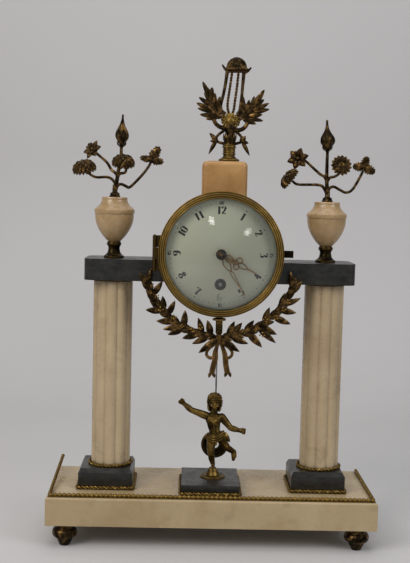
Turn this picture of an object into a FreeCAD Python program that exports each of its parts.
import FreeCAD
import Part
import math
import os

# Portico clock: a marble base, two reeded columns on veined plinths, two marble lintels that carry
# a brass drum with an eight-day timepiece, urns with metal bouquets, a lyre finial, a laurel swag
# and a child figure that stands in front of a seconds-beating short pendulum.
# Millimetres. X to the right, Y away from the viewer, Z up. The origin is under the base's middle,
# on the surface that the feet stand on.

V = FreeCAD.Vector

# Clearances
RUN = 0.05            # radial clearance of an arbor or pin that turns in its hole
SEAT = 0.1            # radial clearance of a fixed screw, stud or pin in its hole
GAP = 0.4             # clearance between a moving part and its neighbours

# Base
SLAB_W = 310.0
SLAB_D = 111.0
SLAB_T = 26.6
SLAB_EDGE = 1.5
FOOT_H = 21.8
FOOT_R = 11.3
FOOT_INSET_X = 17.1
FOOT_INSET_Y = 13.2
FOOT_STUD_R = 2.5
FOOT_STUD_L = 14.0
BEAD_R = 2.0
BEAD_PITCH = 4.3
BEAD_STRIP_W = 3.0
BEAD_STRIP_T = 1.2
RAIL_MARGIN = 4.0
SIDE_RAIL_W = 3.4
SIDE_RAIL_H = 3.2
SIDE_RAIL_LIFT = 10.0
PIN_R = 0.7
PIN_L = 5.0
ROPE_D = 3.6
ROPE_REBATE = 1.0

# Centre plinth and figure
CENTRE_X = -1.5
CENTRE_HALF_W = 27.6
CENTRE_HALF_D = 31.0
CENTRE_Y = -10.0
CENTRE_H = 10.0
FIGURE_X = 1.2
FIGURE_Y = -8.0
FIGURE_DISC_R = 12.0
FIGURE_DISC_T = 1.8
FIGURE_MOUND_R = 7.0
FIGURE_MOUND_H = 6.6
FIGURE_STUD_R = 2.0
FIGURE_TALL = 74.5

# Columns. Everything above the plinths stands UPPER_X to the right of the base's middle.
UPPER_X = 3.2
COLUMN_X = 102.0
PLINTH_X = 102.0
PLINTH_HALF = 25.8
PLINTH_H = 20.0
PLINTH_BEVEL_IN = 2.2
PLINTH_BEVEL_H = 4.0
COLUMN_R = 19.1
REEDS = 10
REED_DEPTH = 1.7
FOOT_ROPE_D = 3.0
CAP_PLATE_R = 21.0
CAP_PLATE_T = 1.5
ROD_R = 2.5
ROD_NUT_R = 5.0
ROD_NUT_H = 4.0
COUNTERBORE_R = 7.0
COUNTERBORE_H = 6.0

# Lintels
LINTEL_H = 20.2
LINTEL_HALF_D = 25.5
LINTEL_END_X = 128.4
LINTEL_CORNER_R = 8.0

# Urns and bouquets
URN_FOOT_R = 9.75
URN_FOOT_H = 15.7
URN_R = 19.3
URN_H = 42.3
URN_BORE_R = 3.2
COLLAR_R = 5.2
COLLAR_H = 4.5
STEM_R = 1.1
BUD_R = 6.4
BUD_H = 31.0

# Drum, bezel and dial
DIAL_RISE = 27.6      # the dial's centre above the lintels' underside
DRUM_R = 54.0
DRUM_WALL = 1.2
DRUM_FRONT_Y = -38.0
DRUM_BACK_Y = 28.0
FLANGE_W = 3.4
FLANGE_T = 1.4
SHELF_IN = 7.0        # the shelf's bore is this much inside the drum's outside
SHELF_T = 2.0
BRACKET_T = 1.4
BRACKET_H = 15.0
BRACKET_SCREW_R = 1.5
BRACKET_SCREW_Y = 12.0
BEZEL_OVERHANG = 1.0
BEZEL_BORE_IN = 2.4
BEZEL_DEPTH = 6.5
GLASS_T = 1.4
GLASS_RISE = 8.0
DIAL_PLAY = 0.5
DIAL_T = 1.2
DIAL_Y = -36.0
DIAL_HOLE_R = 3.4
KEY_HOLE_R = 4.4
HINGE_OUT = 3.4       # the bezel hinge's axis outside the bezel
HINGE_R = 1.9
HINGE_PIN_R = 0.8
HINGE_KNUCKLE = 11.0
COVER_KNUCKLE = 6.5
COVER_T = 1.6
COVER_HINGE_OUT = 3.5
SLOT_HALF_W = 9.0
SLOT_FRONT_Y = 9.0

# Top block and lyre
BLOCK_HALF_W = 21.5
BLOCK_HALF_D = 16.0
BLOCK_RISE = 33.0     # the block's top above the drum
BLOCK_CORNER_R = 5.0
BLOCK_X = 2.5
LYRE_X = 6.4
LYRE_LEAN = 4.0
LYRE_FOOT_R = 9.4
LYRE_NECK_R = 5.6
LYRE_NECK_H = 14.4
LYRE_T = 3.0
LYRE_STUD_R = 2.0
LYRE_TENON_R = 1.5
LYRE_TENON_L = 6.0
STRING_R = 0.6

# Swag
SWAG_Y = -30.0
SWAG_OUT = 18.0       # the swag's stem outside the drum
SWAG_DROP = 5.9
SWAG_END_IN = 2.0
SWAG_STEM_R = 1.5
LEAF_T = 1.2
LEAF_L = 14.0
LEAF_W = 5.4
LEAF_PAIRS = 13
KNOT_R = 2.2
KNOT_DROP = 4.1
RIBBON_T = 1.4
STEM_CAP_R = 6.3
STEM_NECK_R = 3.3
STEM_CAP_DROP = 6.7   # the cap's top under the drum
STEM_CAP_T = 1.6

# Movement
PLATE_T = 2.0
PLATE_FRONT_Y = -24.0
PLATE_BACK_Y = 2.0
BACK_PLATE_IN = 5.0   # the back plate's rim inside the shelf's bore
PILLAR_R = 2.6
PILLAR_IN = 9.0
KEY_ARBOR_DROP = 28.1
PIVOT_R = 0.55
ARBOR_R = 1.2
BARREL_R = 16.6
BARREL_T = 11.0
SUSPENSION_RISE = 33.2
PENDULUM_Y = 14.0
PENDULUM_L = 225.4
BOB_CLEAR = 22.6      # the bob's clearance over the slab
PENDULUM_ROD_R = 0.8
BOB_R = 13.5
BOB_WINDOW_R = 4.0
BOB_T = 4.4
NUT_R = 2.6
NUT_H = 2.4

# Wheels: teeth and modules
GREAT_TEETH = 80
SECOND_PINION = 10
SECOND_TEETH = 72
CENTRE_PINION = 12
CENTRE_TEETH = 84
THIRD_PINION = 7
THIRD_TEETH = 84
ESCAPE_PINION = 8
ESCAPE_TEETH = 30
CANNON_TEETH = 12
MINUTE_TEETH = 36
MINUTE_PINION = 10
HOUR_TEETH = 40
GREAT_MODULE = 0.45
SECOND_MODULE = 0.40
CENTRE_MODULE = 0.33
THIRD_MODULE = 0.30
CANNON_MODULE = 0.40
ESCAPE_R = 8.0
RATCHET_TEETH = 24
RATCHET_R = 7.0
HOUR_HAND_IN = 12.3   # the hands' tips inside the dial's rim
HOUR_HAND_DEG = 117.5
MINUTE_HAND_IN = 6.8
MINUTE_HAND_DEG = 148.5

# Derived places
SLAB_BOTTOM_Z = FOOT_H
SLAB_TOP_Z = FOOT_H + SLAB_T
FOOT_X = SLAB_W / 2 - FOOT_INSET_X
FOOT_Y = SLAB_D / 2 - FOOT_INSET_Y
CENTRE_TOP_Z = SLAB_TOP_Z + CENTRE_H
PLINTH_TOP_Z = SLAB_TOP_Z + PLINTH_H
BOB_Z = SLAB_TOP_Z + BOB_CLEAR + BOB_R
SUSPENSION_Z = BOB_Z + PENDULUM_L
DIAL_Z = SUSPENSION_Z - SUSPENSION_RISE
LINTEL_Z = DIAL_Z - DIAL_RISE
LINTEL_TOP_Z = LINTEL_Z + LINTEL_H
COLUMN_TOP_Z = LINTEL_Z - CAP_PLATE_T
COLUMN_H = COLUMN_TOP_Z - PLINTH_TOP_Z
URN_Z = LINTEL_TOP_Z + URN_FOOT_H
URN_TOP_Z = URN_Z + URN_H
DRUM_IN_R = DRUM_R - DRUM_WALL
DRUM_TOP_Z = DIAL_Z + DRUM_R
DRUM_LOW_Z = DIAL_Z - DRUM_R
SHELF_R = DRUM_R - SHELF_IN
BACK_PLATE_R = SHELF_R - BACK_PLATE_IN
PILLAR_PITCH_R = SHELF_R - PILLAR_IN
BEZEL_R = DRUM_R + FLANGE_W + BEZEL_OVERHANG
BEZEL_BORE_R = DRUM_R - BEZEL_BORE_IN
DIAL_R = DRUM_IN_R - DIAL_PLAY
HINGE_X = BEZEL_R + HINGE_OUT
COVER_HINGE_X = DRUM_R + COVER_HINGE_OUT
BLOCK_TOP_Z = DRUM_TOP_Z + BLOCK_RISE
SWAG_R = DRUM_R + SWAG_OUT
SWAG_LOW_Z = DIAL_Z - SWAG_DROP - SWAG_R
SWAG_END_X = SWAG_R - SWAG_END_IN
HOUR_HAND_L = DIAL_R - HOUR_HAND_IN
MINUTE_HAND_L = DIAL_R - MINUTE_HAND_IN
BEZEL_BACK_Y = DRUM_FRONT_Y - 0.3
BEZEL_FRONT_Y = BEZEL_BACK_Y - BEZEL_DEPTH
GLASS_RIM_Y = BEZEL_FRONT_Y + 2.9
PLATE_FRONT_IN = PLATE_FRONT_Y + PLATE_T
PLATE_BACK_OUT = PLATE_BACK_Y + PLATE_T
KEY_Z = DIAL_Z - KEY_ARBOR_DROP


def lathe_z(profile, x=0.0, y=0.0):
    """Solid of revolution about an upright axis at (x, y); profile is (radius, z) from low to high."""
    low = profile[0][1]
    high = profile[-1][1]
    points = [V(x, y, low)] + [V(x + r, y, z) for r, z in profile] + [V(x, y, high), V(x, y, low)]
    points = [p for i, p in enumerate(points) if i == 0 or (p - points[i - 1]).Length > 1e-6]
    face = Part.Face(Part.makePolygon(points))
    return face.revolve(V(x, y, 0), V(0, 0, 1), 360)


def lathe_z_smooth(profile, x=0.0, y=0.0):
    """As lathe_z, with one smooth curve through the profile's points."""
    points = [V(x + r, y, z) for r, z in profile]
    curve = Part.BSplineCurve()
    curve.interpolate(points)
    low = V(x, y, profile[0][1])
    high = V(x, y, profile[-1][1])
    edges = [Part.makeLine(low, points[0]), curve.toShape(), Part.makeLine(points[-1], high)]
    edges.append(Part.makeLine(high, low))
    return Part.Face(Part.Wire(edges)).revolve(V(x, y, 0), V(0, 0, 1), 360)


def lathe_y(profile, x=0.0, z=DIAL_Z):
    """Solid of revolution about a level front-to-back axis; profile is a closed list of (radius, y)."""
    points = [V(x + r, y, z) for r, y in profile]
    points.append(points[0])
    return Part.Face(Part.makePolygon(points)).revolve(V(x, 0, z), V(0, 1, 0), 360)


def disc_y(x, z, radius, y0, y1):
    """Cylinder along Y from y0 to y1."""
    return Part.makeCylinder(radius, y1 - y0, V(x, y0, z), V(0, 1, 0))


def disc_z(x, y, radius, z0, z1):
    """Cylinder along Z from z0 to z1."""
    return Part.makeCylinder(radius, z1 - z0, V(x, y, z0), V(0, 0, 1))


def block(x0, x1, y0, y1, z0, z1):
    """Box between two corners."""
    return Part.makeBox(x1 - x0, y1 - y0, z1 - z0, V(x0, y0, z0))


def plate_xz(points, y0, y1):
    """Flat outline given as (x, z), extruded from y0 to y1."""
    loop = [V(x, y0, z) for x, z in points]
    loop.append(loop[0])
    return Part.Face(Part.makePolygon(loop)).extrude(V(0, y1 - y0, 0))


def fused(shapes):
    """One solid from overlapping shapes."""
    shapes = list(shapes)
    result = shapes[0].multiFuse(shapes[1:]) if len(shapes) > 1 else shapes[0]
    return result.removeSplitter()


def group(shapes):
    """Separate solids that share a node."""
    return Part.makeCompound(list(shapes))


def mirrored(shape):
    """The same shape on the other side of the clock."""
    return shape.mirror(V(0, 0, 0), V(1, 0, 0))


def bent_rod(points, radius):
    """Round rod along straight runs joined by tangent arcs."""
    edges = []
    start = points[0]
    for i in range(1, len(points) - 1):
        before = points[i] - points[i - 1]
        after = points[i + 1] - points[i]
        turn = before.getAngle(after)
        cut = 0.45 * min(before.Length, after.Length)
        inward = points[i] - V(before).normalize() * cut
        outward = points[i] + V(after).normalize() * cut
        bisector = V(after).normalize() - V(before).normalize()
        sag = cut * math.tan(turn / 4)
        middle = (inward + outward) * 0.5 + V(bisector).normalize() * -sag
        edges.append(Part.makeLine(start, inward))
        edges.append(Part.Arc(inward, middle, outward).toShape())
        start = outward
    edges.append(Part.makeLine(start, points[-1]))
    path = Part.Wire(edges)
    ring = Part.Wire(Part.makeCircle(radius, points[0], points[1] - points[0]))
    return path.makePipeShell([ring], True, True)


def leaf_outline(base, direction, length, width):
    """Pointed leaf as (x, z) points from a base along a direction in degrees from +X."""
    c = math.cos(math.radians(direction))
    s = math.sin(math.radians(direction))
    shape = [(0.0, 0.12), (0.35, 0.5), (0.7, 0.36), (1.0, 0.0)]
    side = [(t * length, w * width) for t, w in shape]
    ring = side + [(t, -w) for t, w in reversed(side[:-1])]
    return [(base[0] + t * c - w * s, base[1] + t * s + w * c) for t, w in ring]


def gear(teeth, module, x, z, aim, y0, y1, gap_there=False):
    """Spur gear along Y with a tooth, or a gap, pointing in the direction aim (degrees from +X)."""
    pitch = 360.0 / teeth
    slim = 0.80 if teeth < 16 else 1.0
    tip_r = module * (teeth / 2 + 0.85)
    root_r = module * (teeth / 2 - 1.15)
    first = aim + (pitch / 2 if gap_there else 0.0)
    outline = []
    for k in range(teeth):
        centre = first + k * pitch
        steps = ((root_r, -0.27), (tip_r, -0.10), (tip_r, 0.10), (root_r, 0.27))
        for radius, share in steps:
            angle = math.radians(centre + share * slim * pitch)
            outline.append((x + radius * math.cos(angle), z + radius * math.sin(angle)))
    return plate_xz(outline, y0, y1)


def spoked(wheel, x, z, rim_r, hub_r, y0, y1, spokes=4):
    """Cut windows between a wheel's rim and hub."""
    window = disc_y(x, z, rim_r, y0 - 1, y1 + 1).cut(disc_y(x, z, hub_r, y0 - 2, y1 + 2))
    bars = []
    for k in range(spokes):
        bar = block(x, x + rim_r + 1, y0 - 2, y1 + 2, z - 0.8, z + 0.8)
        bar.rotate(V(x, 0, z), V(0, 1, 0), 360.0 * k / spokes + 45)
        bars.append(bar)
    return wheel.cut(window.cut(fused(bars)))


def polar(centre, distance, degrees):
    """Point (x, z) at a distance and direction from another."""
    angle = math.radians(degrees)
    return (centre[0] + distance * math.cos(angle), centre[1] + distance * math.sin(angle))


def direction(a, b):
    """Direction from a to b in degrees from +X, in the XZ plane."""
    return math.degrees(math.atan2(b[1] - a[1], b[0] - a[0]))


def meeting(a, ra, b, rb, side):
    """Point at distance ra from a and rb from b, to the right (side 1) or left (-1) of a to b."""
    dx = b[0] - a[0]
    dz = b[1] - a[1]
    d = math.hypot(dx, dz)
    along = (ra ** 2 - rb ** 2 + d ** 2) / (2 * d)
    off = math.sqrt(max(ra ** 2 - along ** 2, 0.0))
    ux = dx / d
    uz = dz / d
    return (a[0] + along * ux + side * off * uz, a[1] + along * uz - side * off * ux)


# Arbor places in the XZ plane
CENTRE_AT = (0.0, DIAL_Z)
BARREL_AT = (0.0, KEY_Z)
ANCHOR_AT = (0.0, SUSPENSION_Z)
GREAT_REACH = GREAT_MODULE * (GREAT_TEETH + SECOND_PINION) / 2
SECOND_REACH = SECOND_MODULE * (SECOND_TEETH + CENTRE_PINION) / 2
CENTRE_REACH = CENTRE_MODULE * (CENTRE_TEETH + THIRD_PINION) / 2
THIRD_REACH = THIRD_MODULE * (THIRD_TEETH + ESCAPE_PINION) / 2
MOTION_REACH = CANNON_MODULE * (CANNON_TEETH + MINUTE_TEETH) / 2
HOUR_MODULE = 2 * MOTION_REACH / (MINUTE_PINION + HOUR_TEETH)
SECOND_AT = meeting(CENTRE_AT, SECOND_REACH, BARREL_AT, GREAT_REACH, -1)
ESCAPE_AT = (0.0, SUSPENSION_Z - ESCAPE_R * 1.48)
THIRD_AT = meeting(CENTRE_AT, CENTRE_REACH, ESCAPE_AT, THIRD_REACH, -1)
MINUTE_AT = polar(CENTRE_AT, MOTION_REACH, -30)
CLICK_AT = (BARREL_AT[0] - RATCHET_R - 5.5, BARREL_AT[1] + 6.0)
PILLARS_AT = [polar(CENTRE_AT, PILLAR_PITCH_R, a) for a in (35, 145, 215, 325)]
FEET_AT = [(sx * FOOT_X, sy * FOOT_Y) for sx in (-1, 1) for sy in (-1, 1)]


def at_both_columns(shape_at):
    """The same piece over both column axes."""
    return [shape_at(-COLUMN_X), shape_at(COLUMN_X)]


# Base

def base_slab():
    """Marble slab with the feet's sockets, the rods' counterbores and the rails' pin holes."""
    slab = block(-SLAB_W / 2, SLAB_W / 2, -SLAB_D / 2, SLAB_D / 2, SLAB_BOTTOM_Z, SLAB_TOP_Z)
    upper = [e for e in slab.Edges if all(abs(v.Z - SLAB_TOP_Z) < 1e-6 for v in e.Vertexes)]
    slab = slab.makeChamfer(SLAB_EDGE, upper)
    cuts = []
    for x, y in FEET_AT:
        depth = FOOT_STUD_L + 1.0
        cuts.append(disc_z(x, y, FOOT_STUD_R + SEAT, SLAB_BOTTOM_Z - 1, SLAB_BOTTOM_Z + depth))
    for x, y, r in rod_holes():
        cuts.append(disc_z(x, y, r + SEAT, SLAB_BOTTOM_Z - 1, SLAB_TOP_Z + 1))
        cuts.append(disc_z(x, y, COUNTERBORE_R, SLAB_BOTTOM_Z - 1, SLAB_BOTTOM_Z + COUNTERBORE_H))
    for x, y in rail_pins():
        cuts.append(disc_z(x, y, PIN_R + SEAT, SLAB_TOP_Z - PIN_L - 0.5, SLAB_TOP_Z + 1))
    return slab.cut(fused_apart(cuts))


def fused_apart(shapes):
    """Several cutters as one shape."""
    return shapes[0].multiFuse(shapes[1:])


def rod_holes():
    """Places of the two tie rods and of the figure's stud, with their radii."""
    holes = [(UPPER_X + side * COLUMN_X, 0.0, ROD_R) for side in (-1, 1)]
    holes.append((FIGURE_X, FIGURE_Y, FIGURE_STUD_R))
    return holes


def bead_rail_span():
    """Half the bead rail's length and its Y."""
    half = SLAB_W / 2 - SLAB_EDGE - 0.5
    return half, -SLAB_D / 2 + SLAB_EDGE + BEAD_STRIP_W / 2 + 0.3


def side_rail_place():
    """The side rails' X, and the Y of their front and back ends."""
    x = SLAB_W / 2 - SLAB_EDGE - SIDE_RAIL_W / 2 - 0.3
    front = bead_rail_span()[1] + BEAD_R + 0.5
    return x, front, SLAB_D / 2 - RAIL_MARGIN


def rail_pins():
    """Places of the pins that hold the three rails."""
    half, y = bead_rail_span()
    pins = [(x, y) for x in (-half + 6, 0.0, half - 6)]
    x, front, back = side_rail_place()
    pins += [(-x, front + 6), (x, front + 6), (x, back - 6)]
    return pins


def foot(x, y):
    """Turned brass foot with the stud that goes up into the slab."""
    profile = [(4.9, 0.0), (6.0, 1.2), (7.2, 6.5), (7.2, 10.5), (5.4, 12.2), (8.6, 13.6)]
    profile += [(FOOT_R, 15.2), (FOOT_R, 18.8), (FOOT_R - 1.4, FOOT_H)]
    body = lathe_z(profile, x, y)
    return fused([body, disc_z(x, y, FOOT_STUD_R, FOOT_H - 2, FOOT_H + FOOT_STUD_L)])


def feet():
    """The four feet."""
    return group(foot(x, y) for x, y in FEET_AT)


def front_bead_rail():
    """Strip of beads along the slab's front edge."""
    half, y = bead_rail_span()
    strip = block(-half, half, y - BEAD_STRIP_W / 2, y + BEAD_STRIP_W / 2, SLAB_TOP_Z,
                  SLAB_TOP_Z + BEAD_STRIP_T)
    count = int(2 * half / BEAD_PITCH)
    first = -(count - 1) * BEAD_PITCH / 2
    beads = []
    for k in range(count):
        centre = V(first + k * BEAD_PITCH, y, SLAB_TOP_Z + BEAD_R + 0.2)
        beads.append(Part.makeSphere(BEAD_R, centre))
    pins = [disc_z(px, py, PIN_R, SLAB_TOP_Z - PIN_L, SLAB_TOP_Z + 1) for px, py in rail_pins()[:3]]
    return fused([strip] + beads + pins)


def side_rail(lifted):
    """Rope bar along one end of the slab; the left one has sprung up at its back end."""
    x, front, back = side_rail_place()
    bar = block(x - SIDE_RAIL_W / 2, x + SIDE_RAIL_W / 2, front, back, SLAB_TOP_Z,
                SLAB_TOP_Z + SIDE_RAIL_H)
    long_edges = [e for e in bar.Edges if e.Length > back - front - 1]
    top = [e for e in long_edges if e.Vertexes[0].Z > SLAB_TOP_Z + SIDE_RAIL_H / 2]
    bar = bar.makeFillet(min(SIDE_RAIL_W, SIDE_RAIL_H) * 0.42, top)
    pin_places = [front + 6] if lifted else [front + 6, back - 6]
    pins = [disc_z(x, y, PIN_R, SLAB_TOP_Z - PIN_L, SLAB_TOP_Z + 1) for y in pin_places]
    if lifted:
        angle = math.degrees(math.asin(SIDE_RAIL_LIFT / (back - front)))
        bar.rotate(V(x, front, SLAB_TOP_Z), V(1, 0, 0), angle)
        pins = [disc_z(x, front + 6, PIN_R, SLAB_TOP_Z - PIN_L, SLAB_TOP_Z + 1.6)]
    return fused([bar] + pins)


def side_rails():
    """Both side rails."""
    return group([mirrored(side_rail(True)), side_rail(False)])


def rebated_block(x, y, half_w, half_d, z0, z1):
    """Plinth block whose foot is cut back for its rope."""
    body = block(x - half_w, x + half_w, y - half_d, y + half_d, z0 + ROPE_D, z1)
    in_w = half_w - ROPE_REBATE
    in_d = half_d - ROPE_REBATE
    foot_part = block(x - in_w, x + in_w, y - in_d, y + in_d, z0, z0 + ROPE_D)
    return body, foot_part


def centre_plinth():
    """Veined marble block under the figure."""
    body, foot_part = rebated_block(CENTRE_X, CENTRE_Y, CENTRE_HALF_W, CENTRE_HALF_D, SLAB_TOP_Z,
                                    CENTRE_TOP_Z)
    hole = disc_z(FIGURE_X, FIGURE_Y, FIGURE_STUD_R + SEAT, SLAB_TOP_Z - 1, CENTRE_TOP_Z + 1)
    return fused([body, foot_part]).cut(hole)


def column_plinth(side):
    """Veined marble plinth with a bevelled top, bored where its column's tie rod passes."""
    x = side * PLINTH_X
    low = PLINTH_TOP_Z - PLINTH_BEVEL_H
    straight, foot_part = rebated_block(x, 0, PLINTH_HALF, PLINTH_HALF, SLAB_TOP_Z, low)
    bevel = frustum(x, 0, PLINTH_HALF, PLINTH_HALF - PLINTH_BEVEL_IN, low, PLINTH_TOP_Z)
    hole = disc_z(UPPER_X + side * COLUMN_X, 0, ROD_R + SEAT, SLAB_TOP_Z - 1, PLINTH_TOP_Z + 1)
    return fused([foot_part, straight, bevel]).cut(hole)


def frustum(x, y, half0, half1, z0, z1):
    """Square frustum."""
    loops = []
    for half, z in ((half0, z0), (half1, z1)):
        corners = [V(x + sx * half, y + sy * half, z) for sx, sy in ((-1, -1), (1, -1), (1, 1), (-1, 1))]
        loops.append(Part.makePolygon(corners + corners[:1]))
    return Part.makeLoft(loops, True, True)


def rope_frame(x, y, half_w, half_d):
    """Square rope loop laid in a plinth's rebate."""
    in_w = half_w - ROPE_REBATE + 0.05
    in_d = half_d - ROPE_REBATE + 0.05
    z0 = SLAB_TOP_Z
    z1 = SLAB_TOP_Z + ROPE_D - 0.05
    outer = block(x - in_w - ROPE_D, x + in_w + ROPE_D, y - in_d - ROPE_D, y + in_d + ROPE_D, z0, z1)
    around = [e for e in outer.Edges if abs(e.Vertexes[0].Z - e.Vertexes[1].Z) < 1e-6]
    outer = outer.makeFillet(ROPE_D * 0.4, around)
    return outer.cut(block(x - in_w, x + in_w, y - in_d, y + in_d, z0 - 1, z1 + 1))


def foot_rope(x):
    """Twisted ring round a column's foot."""
    inner = COLUMN_R + 0.15
    z0 = PLINTH_TOP_Z
    centre_r = inner + FOOT_ROPE_D / 2 - 0.4
    ring = Part.makeTorus(centre_r, FOOT_ROPE_D / 2, V(x, 0, z0 + FOOT_ROPE_D / 2 - 0.2), V(0, 0, 1))
    tray = disc_z(x, 0, centre_r + FOOT_ROPE_D, z0, z0 + FOOT_ROPE_D + 1)
    bore = disc_z(x, 0, inner, z0 - 1, z0 + FOOT_ROPE_D + 1)
    return ring.common(tray).cut(bore)


def rope_mouldings():
    """The three plinth ropes and the two rings round the columns' feet."""
    pieces = [rope_frame(side * PLINTH_X, 0, PLINTH_HALF, PLINTH_HALF) for side in (-1, 1)]
    pieces.append(rope_frame(CENTRE_X, CENTRE_Y, CENTRE_HALF_W, CENTRE_HALF_D))
    pieces += [foot_rope(UPPER_X + side * COLUMN_X) for side in (-1, 1)]
    return group(pieces)


# Columns and lintels

def column(x):
    """Marble column with convex reeds, bored for its tie rod."""
    groove_r = COLUMN_R - REED_DEPTH
    step = 2 * math.pi / REEDS
    edges = []
    for k in range(REEDS):
        a0 = k * step
        a1 = a0 + step / 2
        a2 = a0 + step
        points = [V(x + r * math.cos(a), r * math.sin(a), PLINTH_TOP_Z)
                  for r, a in ((groove_r, a0), (COLUMN_R, a1), (groove_r, a2))]
        edges.append(Part.Arc(*points).toShape())
    shaft = Part.Face(Part.Wire(edges)).extrude(V(0, 0, COLUMN_H))
    return shaft.cut(disc_z(x, 0, ROD_R + SEAT, PLINTH_TOP_Z - 1, COLUMN_TOP_Z + 1))


def column_cap_plates():
    """Thin metal plates between the columns and the lintels."""
    def plate(x):
        body = disc_z(x, 0, CAP_PLATE_R, COLUMN_TOP_Z, LINTEL_Z)
        return body.cut(disc_z(x, 0, ROD_R + SEAT, COLUMN_TOP_Z - 1, LINTEL_Z + 1))
    return group(at_both_columns(plate))


def tie_rods():
    """Iron rods from under the slab up into the urn feet, with their nuts."""
    pieces = []
    top = URN_Z + 12.0
    nut_z = SLAB_BOTTOM_Z + COUNTERBORE_H - ROD_NUT_H
    for x in (-COLUMN_X, COLUMN_X):
        pieces.append(disc_z(x, 0, ROD_R, nut_z - 1.2, top))
        nut = Part.makePolygon([V(x + ROD_NUT_R * math.cos(k * math.pi / 3),
                                  ROD_NUT_R * math.sin(k * math.pi / 3), nut_z) for k in range(7)])
        nut = Part.Face(nut).extrude(V(0, 0, ROD_NUT_H))
        pieces.append(nut.cut(disc_z(x, 0, ROD_R + RUN, nut_z - 2, nut_z + ROD_NUT_H + 2)))
    return group(pieces)


def lintel():
    """Right lintel: rounded outer corners and an inner end hollowed to the drum and its bracket."""
    body = block(0, LINTEL_END_X, -LINTEL_HALF_D, LINTEL_HALF_D, LINTEL_Z, LINTEL_TOP_Z)
    outer = [e for e in body.Edges
             if all(abs(v.X - LINTEL_END_X) < 1e-6 for v in e.Vertexes) and e.Length < LINTEL_H + 1]
    body = body.makeFillet(LINTEL_CORNER_R, outer)
    hollow = disc_y(0, DIAL_Z, DRUM_R + BRACKET_T + 2 * SEAT, -LINTEL_HALF_D - 1, LINTEL_HALF_D + 1)
    body = body.cut(hollow)
    body = body.cut(block(-1, DRUM_R * 0.6, -SLAB_D, SLAB_D, LINTEL_Z - 1, LINTEL_TOP_Z + 1))
    cuts = [disc_z(COLUMN_X, 0, ROD_R + SEAT, LINTEL_Z - 1, LINTEL_TOP_Z + 1)]
    for screw_y in (-BRACKET_SCREW_Y, BRACKET_SCREW_Y):
        cuts.append(side_bore(screw_y, BRACKET_SCREW_R + SEAT, 0.0, DRUM_R + 14.0))
    for pin_x, pin_z in [swag_end()]:
        cuts.append(disc_y(pin_x, pin_z, PIN_R + SEAT, -LINTEL_HALF_D - 1, -LINTEL_HALF_D + 4.5))
    return body.cut(fused_apart(cuts))


def side_bore(y, radius, x0, x1):
    """Level bore across the drum's right side at the lintels' height."""
    z = LINTEL_Z + LINTEL_H / 2
    return Part.makeCylinder(radius, x1 - x0, V(x0, y, z), V(1, 0, 0))


# Drum

def drum_wall_x(radius, z):
    """X of a circle about the dial's centre at the height z."""
    return math.sqrt(max(radius ** 2 - (z - DIAL_Z) ** 2, 0.0))


def drum_case():
    """Brass drum: tube, front flange, inner shelf for the movement and the pendulum's slot."""
    tube = disc_y(0, DIAL_Z, DRUM_R, DRUM_FRONT_Y, DRUM_BACK_Y)
    flange = disc_y(0, DIAL_Z, DRUM_R + FLANGE_W, DRUM_FRONT_Y, DRUM_FRONT_Y + FLANGE_T)
    body = fused([tube, flange]).cut(disc_y(0, DIAL_Z, DRUM_IN_R, DRUM_FRONT_Y - 1, DRUM_BACK_Y + 1))
    shelf = disc_y(0, DIAL_Z, DRUM_IN_R + 0.5, PLATE_FRONT_IN, PLATE_FRONT_IN + SHELF_T)
    shelf = shelf.cut(disc_y(0, DIAL_Z, SHELF_R, PLATE_FRONT_IN - 1, PLATE_FRONT_IN + SHELF_T + 1))
    body = fused([body, shelf])
    cuts = [block(-SLOT_HALF_W, SLOT_HALF_W, SLOT_FRONT_Y, DRUM_BACK_Y + 1,
                  DIAL_Z - DRUM_R - 5, DIAL_Z - DRUM_R * 0.8)]
    for screw_y in (-BRACKET_SCREW_Y, BRACKET_SCREW_Y):
        cuts.append(side_bore(screw_y, BRACKET_SCREW_R + SEAT, -DRUM_R - 9, DRUM_R + 9))
    for x, z in plate_screws_at():
        cuts.append(disc_y(x, z, 1.2 + SEAT, PLATE_FRONT_IN - 1, PLATE_FRONT_IN + SHELF_T + 1))
    cuts.append(disc_z(LYRE_X, 0, LYRE_STUD_R + SEAT, DIAL_Z + DRUM_R * 0.8, DIAL_Z + DRUM_R + 5))
    cuts.append(disc_z(0, SWAG_Y, 1.6 + SEAT, DIAL_Z - DRUM_R - 5, DIAL_Z - DRUM_R * 0.8))
    return body.cut(fused_apart(cuts))


def bracket(side):
    """Curved brass saddle between the drum and a lintel's end, with its two screws."""
    z0 = LINTEL_Z + (LINTEL_H - BRACKET_H) / 2
    outer = disc_y(0, DIAL_Z, DRUM_R + BRACKET_T + SEAT, -LINTEL_HALF_D + 4, LINTEL_HALF_D - 4)
    saddle = outer.cut(disc_y(0, DIAL_Z, DRUM_R + SEAT, -LINTEL_HALF_D, LINTEL_HALF_D))
    keep = block(DRUM_R * 0.5, DRUM_R * 1.5, -LINTEL_HALF_D, LINTEL_HALF_D, z0, z0 + BRACKET_H)
    saddle = saddle.common(keep)
    z = z0 + BRACKET_H / 2
    head_x = drum_wall_x(DRUM_IN_R, z - BRACKET_SCREW_R * 2) - 0.4
    screws = []
    for y in (-BRACKET_SCREW_Y, BRACKET_SCREW_Y):
        saddle = saddle.cut(side_bore(y, BRACKET_SCREW_R + SEAT, 0, DRUM_R * 1.5))
        head = side_bore(y, BRACKET_SCREW_R * 1.9, head_x - 2.0, head_x)
        screws.append(fused([head, side_bore(y, BRACKET_SCREW_R, head_x - 1, DRUM_R + 13)]))
    pieces = [saddle] + screws
    return [mirrored(p) for p in pieces] if side < 0 else pieces


def drum_brackets():
    """Both saddles and their four screws."""
    return group(bracket(-1) + bracket(1))


def plate_screws_at():
    """Places of the screws that hold the movement in the drum."""
    middle = (SHELF_R + DRUM_IN_R) / 2
    return [polar(CENTRE_AT, middle, a) for a in (60, 180, 300)]


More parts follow.
